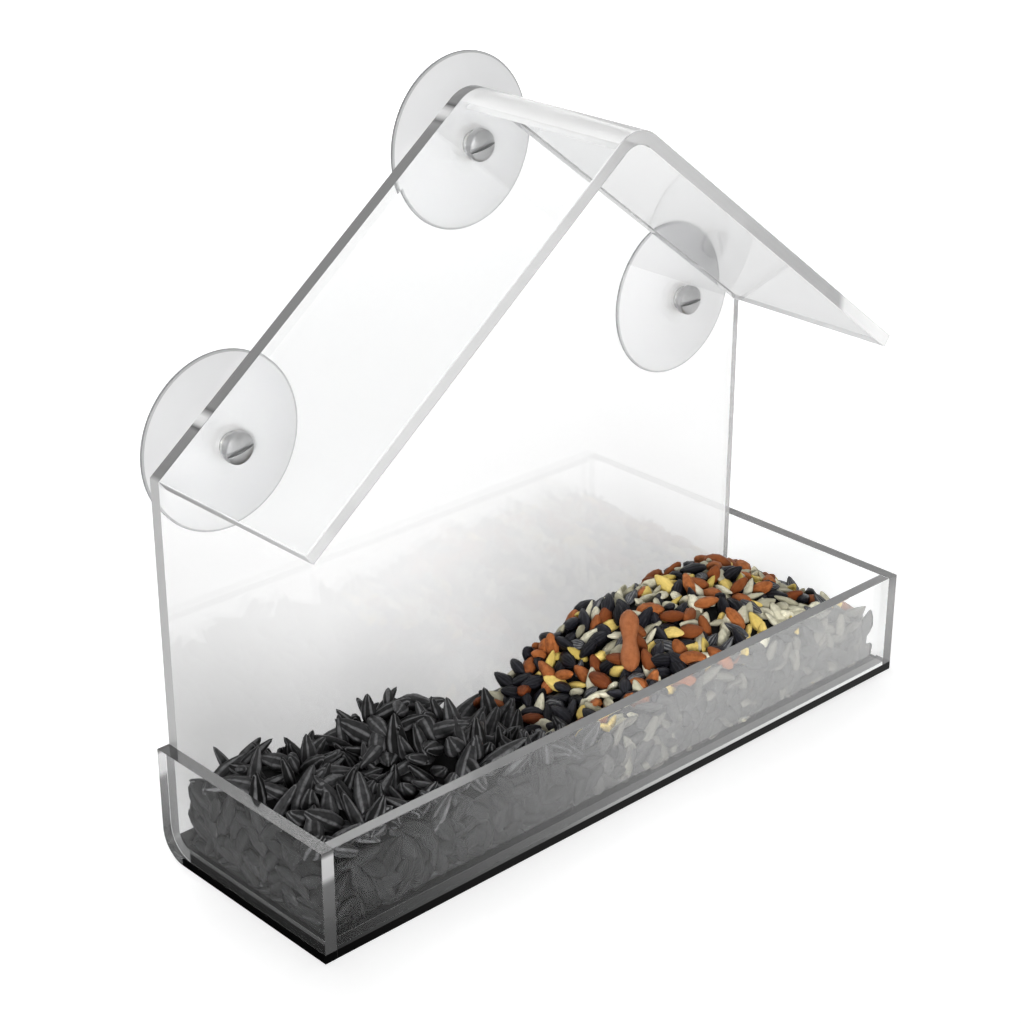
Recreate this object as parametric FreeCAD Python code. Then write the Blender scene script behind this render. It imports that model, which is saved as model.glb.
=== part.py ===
"""Window bird feeder of clear acrylic sheet, with three screwed-on suction cups.

Millimetres. +Z is up, +X is right as seen from the front, and the window is on the +Y side.
The origin is the middle of the tray's footprint, on its underside.
"""
import FreeCAD, Part
import math
import os

from FreeCAD import Vector

# Sheet stock and joints
SHEET = 3.0                   # thickness of the clear sheet
CEMENT_LINE = 0.05            # cement between two sheets
SEAT_GAP = 0.05               # between a clamped face and the panel

# Tray
TRAY_WIDTH = 180.0            # over both end walls
TRAY_DEPTH = 55.0             # front face of the front wall to rear face of the panel
TRAY_HEIGHT = 26.0
FLOOR_BEND_INNER = 3.5        # inner radius of the bend from floor to back panel
DRAIN_DIAMETER = 4.0
DRAIN_COUNT = 4
DRAIN_PITCH = 38.0

# Back panel and roof
EAVE_HEIGHT = 87.5            # floor level to the shoulder of the panel
GABLE_RISE = 67.0             # shoulder to the sharp line where the two slopes would meet
ROOF_DEPTH = 47.0             # along the ridge, from the panel's front face
RIDGE_BEND_INNER = 5.5        # inner radius of the bend at the ridge

# Places of the suction cups on the panel
CUP_SIDE_INSET = 19.5         # in from the panel's side edge
CUP_SIDE_LIFT = 1.7           # above the shoulder
CUP_TOP_DROP = 14.8           # below the sharp ridge line

# Suction cup, revolved about its screw
CUP_DIAMETER = 39.0
CUP_HEIGHT = 3.2              # shoulder to the plane of the lip
CUP_LIP = 0.7                 # thickness at the lip
CUP_SHOULDER_DIAMETER = 13.0  # flat that bears on the panel
CUP_PAD_DIAMETER = 11.0       # thick middle that holds the bush
CUP_PAD_RECESS = 0.5          # pad's face to the plane of the lip
CUP_HOLLOW_DEPTH = 0.8        # hollow round the pad, below the pad's face
CUP_FLOOR_DIAMETER = 26.0     # flat floor of that hollow

# Screw with a slotted cheese head
THREAD_DIAMETER = 4.0
THREAD_CLEARANCE = 0.05       # radial, between the screw and the bush
SCREW_REACH = 1.95            # tip behind the panel's rear face: a 5 mm screw in 3 mm sheet
HEAD_DIAMETER = 7.0
HEAD_HEIGHT = 2.5
HEAD_EDGE = 0.5               # bevel round the top of the head
SLOT_WIDTH = 1.1
SLOT_DEPTH = 1.0
SLOT_ANGLES = {"top": 11.0, "left": 11.0, "right": 2.0}   # degrees up from +X, seen from the front

# Threaded bush moulded into the cup
BUSH_WALL = 0.6               # round the thread
BUSH_RIM = 1.9                # how far the flange stands out from the barrel
BUSH_TIP_ROOM = 0.2           # bush's rear end past the screw's tip
BUSH_COVER = 0.9              # cup material between the panel and the flange
BUSH_SHORTFALL = 0.4          # barrel's end to the panel's front face
BUSH_HOLE_CLEARANCE = 0.2     # radial, between the barrel and the panel
MOULD_GAP = 0.03              # between the bush and the cup moulded round it

# Values worked out from those above
FRONT = -TRAY_DEPTH / 2
REAR = TRAY_DEPTH / 2
PANEL_FRONT = REAR - SHEET
PANEL_HALF = TRAY_WIDTH / 2 - SHEET - CEMENT_LINE
FLOOR_BEND_OUTER = FLOOR_BEND_INNER + SHEET
RIDGE_BEND_OUTER = RIDGE_BEND_INNER + SHEET
PITCH = math.atan2(GABLE_RISE, PANEL_HALF)
RIDGE_HEIGHT = EAVE_HEIGHT + GABLE_RISE
RIDGE_CENTRE = RIDGE_HEIGHT - RIDGE_BEND_OUTER / math.cos(PITCH)

SHANK_RADIUS = THREAD_DIAMETER / 2 - THREAD_CLEARANCE
BUSH_RADIUS = THREAD_DIAMETER / 2 + BUSH_WALL
FLANGE_RADIUS = BUSH_RADIUS + BUSH_RIM
FLANGE_FRONT = SEAT_GAP + BUSH_COVER           # both behind the panel's rear face
FLANGE_BACK = SCREW_REACH + BUSH_TIP_ROOM
PANEL_HOLE_RADIUS = BUSH_RADIUS + BUSH_HOLE_CLEARANCE

CUP_SIDE_X = PANEL_HALF - CUP_SIDE_INSET
CUP_PLACES = {
    "top": (0.0, RIDGE_HEIGHT - CUP_TOP_DROP),
    "left": (-CUP_SIDE_X, EAVE_HEIGHT + CUP_SIDE_LIFT),
    "right": (CUP_SIDE_X, EAVE_HEIGHT + CUP_SIDE_LIFT),
}


def closed_face(edges):
    """Face bounded by edges given in order round its outline."""
    return Part.Face(Part.Wire([edge.toShape() for edge in edges]))


def line(start, end):
    """Straight edge between two points."""
    return Part.LineSegment(start, end)


def arc_about(centre, radius, start_angle, end_angle, point):
    """Arc of a radius about a centre, between two angles; point maps (u, v) to space."""
    angles = (start_angle, (start_angle + end_angle) / 2, end_angle)
    ends = [point(centre[0] + radius * math.cos(a), centre[1] + radius * math.sin(a)) for a in angles]
    return Part.Arc(*ends)


def chain(points):
    """Straight edges through points, closed back to the first."""
    return [line(a, b) for a, b in zip(points, points[1:] + points[:1])]


def roof_section(radius, inset, y):
    """Points and arc of one face of the roof line, from the left eave over the ridge to the right.

    radius is the bend's radius on that face, inset how far the face lies inside the outer one.
    """
    def at(x, z):
        return Vector(x, y, z)

    slope_x = math.sin(PITCH)
    slope_z = math.cos(PITCH)
    eave = Vector(PANEL_HALF - inset * slope_x, y, EAVE_HEIGHT - inset * slope_z)
    bend_end = Vector(radius * slope_x, y, RIDGE_CENTRE + radius * slope_z)
    mirror_eave = at(-eave.x, eave.z)
    mirror_end = at(-bend_end.x, bend_end.z)
    bend = Part.Arc(mirror_end, at(0, RIDGE_CENTRE + radius), bend_end)
    return [line(mirror_eave, mirror_end), bend, line(bend_end, eave)], mirror_eave, eave


def back_and_floor():
    """Sheet bent once: tray floor, rounded corner, and house-shaped back panel."""
    def at(y, z):
        return Vector(-PANEL_HALF, y, z)

    bend = (REAR - FLOOR_BEND_OUTER, FLOOR_BEND_OUTER)
    quarter = (-math.pi / 2, 0.0)
    section = closed_face([
        line(at(FRONT, 0), at(bend[0], 0)),
        arc_about(bend, FLOOR_BEND_OUTER, *quarter, at),
        line(at(REAR, bend[1]), at(REAR, RIDGE_HEIGHT)),
        line(at(REAR, RIDGE_HEIGHT), at(PANEL_FRONT, RIDGE_HEIGHT)),
        line(at(PANEL_FRONT, RIDGE_HEIGHT), at(PANEL_FRONT, bend[1])),
        arc_about(bend, FLOOR_BEND_INNER, *reversed(quarter), at),
        line(at(bend[0], SHEET), at(FRONT, SHEET)),
        line(at(FRONT, SHEET), at(FRONT, 0)),
    ])
    blank = section.extrude(Vector(2 * PANEL_HALF, 0, 0))

    gable, left, right = roof_section(RIDGE_BEND_OUTER, 0.0, FRONT)
    foot_left = Vector(left.x, FRONT, 0)
    foot_right = Vector(right.x, FRONT, 0)
    sides = [line(right, foot_right), line(foot_right, foot_left), line(foot_left, left)]
    outline = closed_face(gable + sides)
    sheet = blank.common(outline.extrude(Vector(0, TRAY_DEPTH, 0)))

    for x, z in CUP_PLACES.values():
        hole = Part.makeCylinder(PANEL_HOLE_RADIUS, SHEET, Vector(x, PANEL_FRONT, z), Vector(0, 1, 0))
        sheet = sheet.cut(hole)
    for index in range(DRAIN_COUNT):
        x = (index - (DRAIN_COUNT - 1) / 2) * DRAIN_PITCH
        sheet = sheet.cut(Part.makeCylinder(DRAIN_DIAMETER / 2, SHEET, Vector(x, 0, 0)))
    return sheet


def front_wall():
    """Strip that stands on the floor's front edge, between the end walls."""
    foot = SHEET + CEMENT_LINE
    corner = Vector(-PANEL_HALF, FRONT, foot)
    return Part.makeBox(2 * PANEL_HALF, SHEET, TRAY_HEIGHT - foot, corner)


def end_wall(side):
    """Plate on the sheet's side edge; side is -1 for left and +1 for right."""
    inner = TRAY_WIDTH / 2 - SHEET
    start = inner if side > 0 else -TRAY_WIDTH / 2

    def at(y, z):
        return Vector(start, y, z)

    bend = (REAR - FLOOR_BEND_OUTER, FLOOR_BEND_OUTER)
    outline = closed_face([
        line(at(FRONT, 0), at(bend[0], 0)),
        arc_about(bend, FLOOR_BEND_OUTER, -math.pi / 2, 0.0, at),
        line(at(REAR, bend[1]), at(REAR, TRAY_HEIGHT)),
        line(at(REAR, TRAY_HEIGHT), at(FRONT, TRAY_HEIGHT)),
        line(at(FRONT, TRAY_HEIGHT), at(FRONT, 0)),
    ])
    return outline.extrude(Vector(SHEET, 0, 0))


def roof():
    """Sheet bent at the ridge, flush with the gable, on the panel's front face."""
    rear = PANEL_FRONT - CEMENT_LINE
    outer, left, right = roof_section(RIDGE_BEND_OUTER, 0.0, rear)
    inner, inner_left, inner_right = roof_section(RIDGE_BEND_INNER, SHEET, rear)
    section = closed_face(outer + [line(right, inner_right)] + inner[::-1] + [line(inner_left, left)])
    return section.extrude(Vector(0, -ROOF_DEPTH + CEMENT_LINE, 0))


def turned(edges, x, z):
    """Solid of revolution about the screw axis at (x, z); the edges lie in the plane x = 0."""
    axis_point = Vector(0, REAR, 0)
    solid = closed_face(edges).revolve(axis_point, Vector(0, 1, 0), 360)
    solid.translate(Vector(x, 0, z))
    return solid


def station(radius, behind):
    """Point at a radius from the screw axis and a distance behind the panel's rear face."""
    return Vector(0, REAR + behind, radius)


def suction_cup(x, z):
    """Shallow dish with a thin lip, a thick middle and a pocket moulded round the bush."""
    lip = SEAT_GAP + CUP_HEIGHT
    pad = lip - CUP_PAD_RECESS
    hollow = pad - CUP_HOLLOW_DEPTH
    rim = CUP_DIAMETER / 2
    pad_radius = CUP_PAD_DIAMETER / 2
    barrel = BUSH_RADIUS + MOULD_GAP
    flange = FLANGE_RADIUS + MOULD_GAP
    pocket_front = FLANGE_FRONT - MOULD_GAP
    pocket_back = FLANGE_BACK + MOULD_GAP
    return turned(chain([
        station(barrel, SEAT_GAP),
        station(CUP_SHOULDER_DIAMETER / 2, SEAT_GAP),
        station(rim, lip - CUP_LIP),
        station(rim, lip),
        station(rim - CUP_LIP, lip),
        station(CUP_FLOOR_DIAMETER / 2, hollow),
        station(pad_radius, hollow),
        station(pad_radius, pad),
        station(0, pad),
        station(0, pocket_back),
        station(flange, pocket_back),
        station(flange, pocket_front),
        station(barrel, pocket_front),
    ]), x, z)


def cup_bush(x, z):
    """Flanged bush: barrel in the panel's hole, flange inside the cup."""
    thread = THREAD_DIAMETER / 2
    front = BUSH_SHORTFALL - SHEET
    return turned(chain([
        station(thread, front),
        station(BUSH_RADIUS, front),
        station(BUSH_RADIUS, FLANGE_FRONT),
        station(FLANGE_RADIUS, FLANGE_FRONT),
        station(FLANGE_RADIUS, FLANGE_BACK),
        station(thread, FLANGE_BACK),
    ]), x, z)


def cup_screw(x, z, slot_angle):
    """Slotted cheese-head screw from the panel's front face into the bush."""
    seat = -SHEET - SEAT_GAP
    top = seat - HEAD_HEIGHT
    head = HEAD_DIAMETER / 2
    screw = turned(chain([
        station(0, top),
        station(head - HEAD_EDGE, top),
        station(head, top + HEAD_EDGE),
        station(head, seat),
        station(SHANK_RADIUS, seat),
        station(SHANK_RADIUS, SCREW_REACH),
        station(0, SCREW_REACH),
    ]), x, z)
    slot = Part.makeBox(2 * head, SLOT_DEPTH, SLOT_WIDTH,
                        Vector(x - head, REAR + top, z - SLOT_WIDTH / 2))
    slot.rotate(Vector(x, REAR, z), Vector(0, 1, 0), -slot_angle)
    return screw.cut(slot)


def build():
    """All sub-parts by node name."""
    nodes = {
        "back_and_floor": back_and_floor(),
        "front_wall": front_wall(),
        "left_end_wall": end_wall(-1),
        "right_end_wall": end_wall(1),
        "roof": roof(),
    }
    for place, (x, z) in CUP_PLACES.items():
        nodes[f"suction_cup_{place}"] = suction_cup(x, z)
        nodes[f"cup_bush_{place}"] = cup_bush(x, z)
        nodes[f"cup_screw_{place}"] = cup_screw(x, z, SLOT_ANGLES[place])
    return nodes


os.makedirs("parts", exist_ok=True)
for node_name, shape in build().items():
    shape.exportStep(f"parts/{node_name}.step")
    box = shape.BoundBox
    print(f"{node_name}: {len(shape.Solids)} solid, valid {shape.isValid()}, {shape.Volume:.1f} mm3, "
          f"{box.XLength:.2f} x {box.YLength:.2f} x {box.ZLength:.2f} mm")
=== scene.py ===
"""Window bird feeder, dressed: eased clear sheets, cloudy suction cups, slotted screws and a filled tray.

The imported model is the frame: metres, +Z up, +X right as seen from the front, the window on the +Y side.
"""
from __future__ import annotations

import logging
import math
import random
from dataclasses import dataclass, field
from enum import Enum, IntEnum
from itertools import product

import bmesh
import bpy
from mathutils import Euler, Matrix, Vector
from mathutils.bvhtree import BVHTree
from mathutils.geometry import tessellate_polygon

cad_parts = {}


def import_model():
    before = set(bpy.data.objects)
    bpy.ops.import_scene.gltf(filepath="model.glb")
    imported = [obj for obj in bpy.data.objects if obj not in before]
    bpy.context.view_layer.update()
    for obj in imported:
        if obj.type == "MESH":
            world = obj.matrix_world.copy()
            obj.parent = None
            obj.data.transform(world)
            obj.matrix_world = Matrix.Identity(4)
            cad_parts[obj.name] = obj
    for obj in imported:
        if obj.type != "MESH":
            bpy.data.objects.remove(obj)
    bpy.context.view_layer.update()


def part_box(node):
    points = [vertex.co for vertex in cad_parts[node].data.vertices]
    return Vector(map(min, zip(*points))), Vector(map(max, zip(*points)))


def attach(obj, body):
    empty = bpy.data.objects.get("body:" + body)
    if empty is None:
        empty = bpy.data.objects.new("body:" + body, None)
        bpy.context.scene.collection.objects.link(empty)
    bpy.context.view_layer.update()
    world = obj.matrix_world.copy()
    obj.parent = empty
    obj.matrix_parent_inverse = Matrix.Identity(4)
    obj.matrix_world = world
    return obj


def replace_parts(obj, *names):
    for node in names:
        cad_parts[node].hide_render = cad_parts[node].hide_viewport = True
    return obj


LOG = logging.getLogger("bird_feeder")
MM = 0.001
FULL_TURN = 2.0 * math.pi
WHITE = (1.0, 1.0, 1.0)
ACRYLIC_IOR = 1.49

# Greys along an axis have their places between minus and plus this reach.
REACH = 92.0 * MM

# Points this close are merged, and points this close to a cutting plane lie on it.
WELD = 0.002 * MM
ON_PLANE = 0.001 * MM

# Shares of a normal along a direction, for faces that look that way, mainly look that way or lean that way.
FACING = 0.9
MAINLY = 0.5
LEANING = 0.3

Triple = tuple[float, float, float]
Colour = Triple
Pair = tuple[float, float]
Stops = tuple[Pair, ...]
Marks = tuple[float, float, float, float]
Node = bpy.types.Node
Socket = bpy.types.NodeSocket


class Axis(Enum):
    """Direction that a finish changes along."""

    X = "X"
    Y = "Y"
    Z = "Z"


def rgba(colour: Colour) -> tuple[float, float, float, float]:
    """Colour with full alpha, as node sockets take it."""
    return (*colour, 1.0)


def in_mm(*stops: Pair) -> Stops:
    """Stops whose places are given in millimetres."""
    return tuple((place * MM, value) for place, value in stops)


def both_in_mm(*pairs: Pair) -> Stops:
    """Pairs of lengths that are both given in millimetres."""
    return tuple((first * MM, second * MM) for first, second in pairs)


class Bench:
    """One node tree, with short calls that add nodes and join their sockets."""

    def __init__(self, tree: bpy.types.NodeTree) -> None:
        """Keep the tree to work on."""
        self.tree = tree

    def add(self, kind: str, inputs: dict[str, object] | None = None, **settings: object) -> Node:
        """Add a node.

        Args:
            kind: The node's type.
            inputs: Values for its input sockets, by name.
            settings: Properties of the node itself.

        Returns:
            The new node.
        """
        node = self.tree.nodes.new(kind)
        for name, value in settings.items():
            setattr(node, name, value)
        for name, value in (inputs or {}).items():
            node.inputs[name].default_value = value
        return node

    def join(self, source: Socket, target: Socket) -> None:
        """Link an output socket to an input socket."""
        self.tree.links.new(source, target)

    def place(self) -> Socket:
        """Object coordinates of the shaded point."""
        return self.add("ShaderNodeTexCoord").outputs["Object"]

    def mix(self, factor: Socket, first: Colour | Socket, second: Colour | Socket) -> Socket:
        """Mix two colours.

        Args:
            factor: Share of the second colour.
            first: A colour, or a socket that gives one.
            second: The same.

        Returns:
            The socket of the mixed colour.
        """
        node = self.add("ShaderNodeMix", data_type="RGBA")
        sockets = {socket.identifier: socket for socket in node.inputs}
        self.join(factor, sockets["Factor_Float"])
        for colour, socket in ((first, sockets["A_Color"]), (second, sockets["B_Color"])):
            if isinstance(colour, Socket):
                self.join(colour, socket)
            else:
                socket.default_value = rgba(colour)
        return next(socket for socket in node.outputs if socket.identifier == "Result_Color")

    def compute(self, operation: str, first: Socket, second: Socket | float | None = None) -> Socket:
        """Do arithmetic on values.

        Args:
            operation: The operation's name.
            first: Socket of the first value.
            second: The second value or its socket, where there is one.

        Returns:
            The result's socket.
        """
        node = self.add("ShaderNodeMath", operation=operation)
        self.join(first, node.inputs[0])
        if isinstance(second, Socket):
            self.join(second, node.inputs[1])
        elif second is not None:
            node.inputs[1].default_value = second
        return node.outputs["Value"]

    def spread(self, value: Socket, span: Pair, target: Pair = (0.0, 1.0)) -> Socket:
        """Spread one span of values over another.

        Args:
            value: The value's socket.
            span: The span that it comes from.
            target: The span that it goes to.

        Returns:
            The new value's socket.
        """
        node = self.add("ShaderNodeMapRange", {
            "From Min": span[0], "From Max": span[1], "To Min": target[0], "To Max": target[1]})
        self.join(value, node.inputs["Value"])
        return node.outputs["Result"]

    def ramp(self, factor: Socket, stops: list[Pair]) -> Socket:
        """Turn a value into a grey by stops.

        Args:
            factor: The value, from 0 to 1.
            stops: Places from 0 to 1 in rising order, each with its grey.

        Returns:
            The socket of the grey.
        """
        node = self.add("ShaderNodeValToRGB")
        elements = node.color_ramp.elements
        elements.remove(elements[1])
        elements[0].position = stops[0][0]
        elements[0].color = rgba((stops[0][1],) * 3)
        for place, grey in stops[1:]:
            elements.new(place).color = rgba((grey,) * 3)
        self.join(factor, node.inputs["Fac"])
        return node.outputs["Color"]

    def along(self, axis: Axis, span: Pair) -> Socket:
        """Measure how far a point lies along an axis.

        Args:
            axis: The axis.
            span: Where the measure is 0 and where it is 1.

        Returns:
            The measure's socket.
        """
        split = self.add("ShaderNodeSeparateXYZ")
        self.join(self.place(), split.inputs["Vector"])
        return self.spread(split.outputs[axis.value], span)

    def graded(self, axis: Axis, stops: Stops) -> Socket:
        """Make a grey that follows stops along an axis.

        Args:
            axis: The axis.
            stops: Places along it in rising order, each with its grey.

        Returns:
            The socket of the grey.
        """
        shares = [(0.5 + place / (2.0 * REACH), grey) for place, grey in stops]
        return self.ramp(self.along(axis, (-REACH, REACH)), shares)

    def noise(self, scale: float, detail: float) -> Socket:
        """Make noise of a scale per metre and a detail."""
        node = self.add("ShaderNodeTexNoise", {"Scale": scale, "Detail": detail})
        self.join(self.place(), node.inputs["Vector"])
        return node.outputs["Fac"]

    def rings(self, centre: Vector, look: dict[str, object]) -> Socket:
        """Make rings round an axis along Y.

        Args:
            centre: A point on the axis.
            look: Values for the wave's sockets.

        Returns:
            The rings' socket.
        """
        about = self.add("ShaderNodeMapping", {"Location": -centre})
        wave = self.add("ShaderNodeTexWave", look, wave_type="RINGS", rings_direction="Y")
        self.join(self.place(), about.inputs["Vector"])
        self.join(about.outputs["Vector"], wave.inputs["Vector"])
        return wave.outputs["Fac"]

    def relief(self, height: Socket, shader: Node, look: Pair) -> None:
        """Bump a shader's surface.

        Args:
            height: Socket of the relief's height.
            shader: The shader node that gets it.
            look: How strongly it shows, and its height.
        """
        bump = self.add("ShaderNodeBump", {"Strength": look[0], "Distance": look[1]})
        self.join(height, bump.inputs["Height"])
        self.join(bump.outputs["Normal"], shader.inputs["Normal"])

    def let_lamps_through(self, shader: Node, output: Node, share: float) -> None:
        """Join a see-through shader to the output so that lamps shine through it.

        Args:
            shader: The material's main shader node.
            output: The material's output node.
            share: How much of a lamp's light each surface passes.
        """
        path = self.add("ShaderNodeLightPath")
        clear = self.add("ShaderNodeBsdfTransparent", {"Color": rgba((share, share, share))})
        mix = self.add("ShaderNodeMixShader")
        self.join(path.outputs["Is Shadow Ray"], mix.inputs[0])
        self.join(shader.outputs["BSDF"], mix.inputs[1])
        self.join(clear.outputs["BSDF"], mix.inputs[2])
        self.join(mix.outputs["Shader"], output.inputs["Surface"])


def new_material(name: str) -> tuple[bpy.types.Material, Bench, Node]:
    """Start a material that has only its output.

    Args:
        name: The material's name.

    Returns:
        The material, the bench of its tree and its output node.
    """
    material = bpy.data.materials.new(name)
    material.use_nodes = True
    material.node_tree.nodes.clear()
    bench = Bench(material.node_tree)
    return material, bench, bench.add("ShaderNodeOutputMaterial")


class SurfaceMarks:
    """Node group for the smears and hairlines that handling leaves on a surface."""

    NAME = "Surface Marks"
    INPUTS = ("Smear Scale", "Hairline Scale", "Low", "High")

    @classmethod
    def group(cls) -> bpy.types.NodeTree:
        """Build the group once.

        Returns:
            The shader node group.
        """
        if cls.NAME in bpy.data.node_groups:
            return bpy.data.node_groups[cls.NAME]
        tree = bpy.data.node_groups.new(cls.NAME, "ShaderNodeTree")
        tree.interface.new_socket("Vector", in_out="INPUT", socket_type="NodeSocketVector")
        for name in cls.INPUTS:
            tree.interface.new_socket(name, in_out="INPUT", socket_type="NodeSocketFloat")
        for name in ("Roughness", "Height"):
            tree.interface.new_socket(name, in_out="OUTPUT", socket_type="NodeSocketFloat")
        bench = Bench(tree)
        given = bench.add("NodeGroupInput")
        result = bench.add("NodeGroupOutput")
        smear = bench.add("ShaderNodeTexNoise", {"Detail": 4.0, "Roughness": 0.55})
        spread = bench.add("ShaderNodeMapRange", {"From Min": 0.35, "From Max": 0.7})
        stretch = bench.add("ShaderNodeMapping", {"Scale": (1.0, 1.0, 14.0), "Rotation": (0.3, 0.5, 0.2)})
        hairline = bench.add("ShaderNodeTexNoise", {"Detail": 2.0, "Roughness": 0.4})
        bench.join(given.outputs["Vector"], smear.inputs["Vector"])
        bench.join(given.outputs["Smear Scale"], smear.inputs["Scale"])
        bench.join(smear.outputs["Fac"], spread.inputs["Value"])
        bench.join(given.outputs["Low"], spread.inputs["To Min"])
        bench.join(given.outputs["High"], spread.inputs["To Max"])
        bench.join(spread.outputs["Result"], result.inputs["Roughness"])
        bench.join(given.outputs["Vector"], stretch.inputs["Vector"])
        bench.join(stretch.outputs["Vector"], hairline.inputs["Vector"])
        bench.join(given.outputs["Hairline Scale"], hairline.inputs["Scale"])
        bench.join(hairline.outputs["Fac"], result.inputs["Height"])
        return tree

    @classmethod
    def place(cls, bench: Bench, shader: Node, marks: Marks) -> Socket:
        """Place the group in a material and roughen its shader.

        Args:
            bench: The material's bench.
            shader: The shader node that gets the roughness.
            marks: Smears and hairlines per metre, then the roughness where clean and where smeared.

        Returns:
            The socket of the hairlines' height.
        """
        node = bench.add("ShaderNodeGroup", node_tree=cls.group())
        bench.join(bench.place(), node.inputs["Vector"])
        for name, value in zip(cls.INPUTS, marks):
            node.inputs[name].default_value = value
        bench.join(node.outputs["Roughness"], shader.inputs["Roughness"])
        return node.outputs["Height"]


@dataclass(frozen=True)
class PaintedShadow:
    """Painted shadow: soft grey low on a sheet, under a border that rises and falls along X, standing for
    the seed heap's shadow on the floor behind, seen through the sheet.

    Each stop of the border is a place along X and its height. Each grey goes with a distance from it.
    """

    border: Stops
    greys: Stops
    height: float = 100.0 * MM

    def colour(self, bench: Bench) -> Socket:
        """Make the painted shadow's colour.

        Args:
            bench: The material's bench.

        Returns:
            The colour's socket.
        """
        levels = tuple((x, level / self.height) for x, level in self.border)
        greys = [(0.5 + distance / self.height, grey) for distance, grey in self.greys]
        level = bench.along(Axis.Z, (0.0, self.height))
        above = bench.compute("SUBTRACT", level, bench.graded(Axis.X, levels))
        return bench.ramp(bench.spread(above, (-0.5, 0.5)), greys)


@dataclass(frozen=True)
class ClearSheet:
    """Polished faces of the clear sheet.

    A sheen that changes along X stands for the bright room that the face mirrors. A grazing shade is painted
    shade: the face is painted greyer where it is seen nearly edge-on, for the darker room that it mirrors
    there.
    """

    name: str
    tint: Colour = (0.985, 0.99, 0.99)
    ior: float = ACRYLIC_IOR
    transmission: float = 1.0
    roughness: Pair = (0.0, 0.03)
    sheen: Stops | None = None
    sheen_ior: float = 3.0
    sheen_roughness: float = 0.1
    grazing_shade: Colour | None = None
    grazing_span: Pair = (0.5, 0.85)
    painted_shadow: PaintedShadow | None = None
    marks: Pair = (45.0, 900.0)
    relief: Pair = (0.01, 0.02 * MM)
    lamp_share: float = 0.97

    def material(self) -> bpy.types.Material:
        """Build the finish.

        Returns:
            The material.
        """
        material, bench, output = new_material(self.name)
        glass = bench.add("ShaderNodeBsdfPrincipled", {
            "Base Color": rgba(self.tint), "IOR": self.ior, "Transmission Weight": self.transmission,
            "Coat IOR": self.sheen_ior, "Coat Roughness": self.sheen_roughness})
        hairlines = SurfaceMarks.place(bench, glass, (*self.marks, *self.roughness))
        bench.relief(hairlines, glass, self.relief)
        if self.sheen:
            bench.join(bench.graded(Axis.X, self.sheen), glass.inputs["Coat Weight"])
        # Painted shadow: the base colour greys low on the sheet.
        if self.painted_shadow:
            bench.join(self.painted_shadow.colour(bench), glass.inputs["Base Color"])
        # Painted shade: greyer where the face is seen nearly edge-on.
        if self.grazing_shade:
            view = bench.add("ShaderNodeLayerWeight", {"Blend": 0.5})
            share = bench.spread(view.outputs["Facing"], self.grazing_span)
            bench.join(bench.mix(share, self.tint, self.grazing_shade), glass.inputs["Base Color"])
        bench.let_lamps_through(glass, output, self.lamp_share)
        return material


@dataclass(frozen=True)
class CutEdge:
    """Cut and polished edges of the sheet, which look greyer than its faces.

    The grey follows stops along one axis, each a place and its grey. The stops are painted light and shade:
    darker where dark seed shows through the edge, lighter where the white room does.
    """

    name: str
    stops: Stops
    axis: Axis = Axis.X
    transmission: float = 0.3
    ior: float = ACRYLIC_IOR
    marks: Marks = (120.0, 2600.0, 0.06, 0.16)
    relief: Pair = (0.05, 0.05 * MM)
    lamp_share: float = 0.8

    def material(self) -> bpy.types.Material:
        """Build the finish.

        Returns:
            The material.
        """
        material, bench, output = new_material(self.name)
        glass = bench.add("ShaderNodeBsdfPrincipled", {
            "IOR": self.ior, "Transmission Weight": self.transmission})
        bench.join(bench.graded(self.axis, self.stops), glass.inputs["Base Color"])
        hairlines = SurfaceMarks.place(bench, glass, self.marks)
        bench.relief(hairlines, glass, self.relief)
        bench.let_lamps_through(glass, output, self.lamp_share)
        return material

    @classmethod
    def matt(cls, name: str, stops: Stops, axis: Axis = Axis.X) -> bpy.types.Material:
        """Build the finish for an edge that shows no light through it.

        Args:
            name: The material's name.
            stops: Places and their greys.
            axis: The axis that they follow.

        Returns:
            The material.
        """
        return cls(name, stops, axis, transmission=0.0, ior=1.0).material()


@dataclass(frozen=True)
class CloudyPvc:
    """Soft PVC of a suction cup: cloudy, with faint mould rings round its middle."""

    name: str
    centre: Vector
    clear_tint: Colour = (0.625, 0.627, 0.63)
    cloud_tint: Colour = (0.575, 0.577, 0.58)
    ior: float = 1.45
    transmission: float = 0.5
    cloud_scale: float = 45.0
    ring_scale: float = 110.0
    marks: Marks = (30.0, 400.0, 0.3, 0.38)
    relief: Pair = (0.02, 0.02 * MM)
    lamp_share: float = 0.9

    def material(self) -> bpy.types.Material:
        """Build the finish.

        Returns:
            The material.
        """
        material, bench, output = new_material(self.name)
        soft = bench.add("ShaderNodeBsdfPrincipled", {
            "IOR": self.ior, "Transmission Weight": self.transmission})
        cloud = bench.noise(self.cloud_scale, detail=1.0)
        bench.join(bench.mix(cloud, self.clear_tint, self.cloud_tint), soft.inputs["Base Color"])
        SurfaceMarks.place(bench, soft, self.marks)
        bench.relief(bench.rings(self.centre, {"Scale": self.ring_scale}), soft, self.relief)
        bench.let_lamps_through(soft, output, self.lamp_share)
        return material


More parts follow.
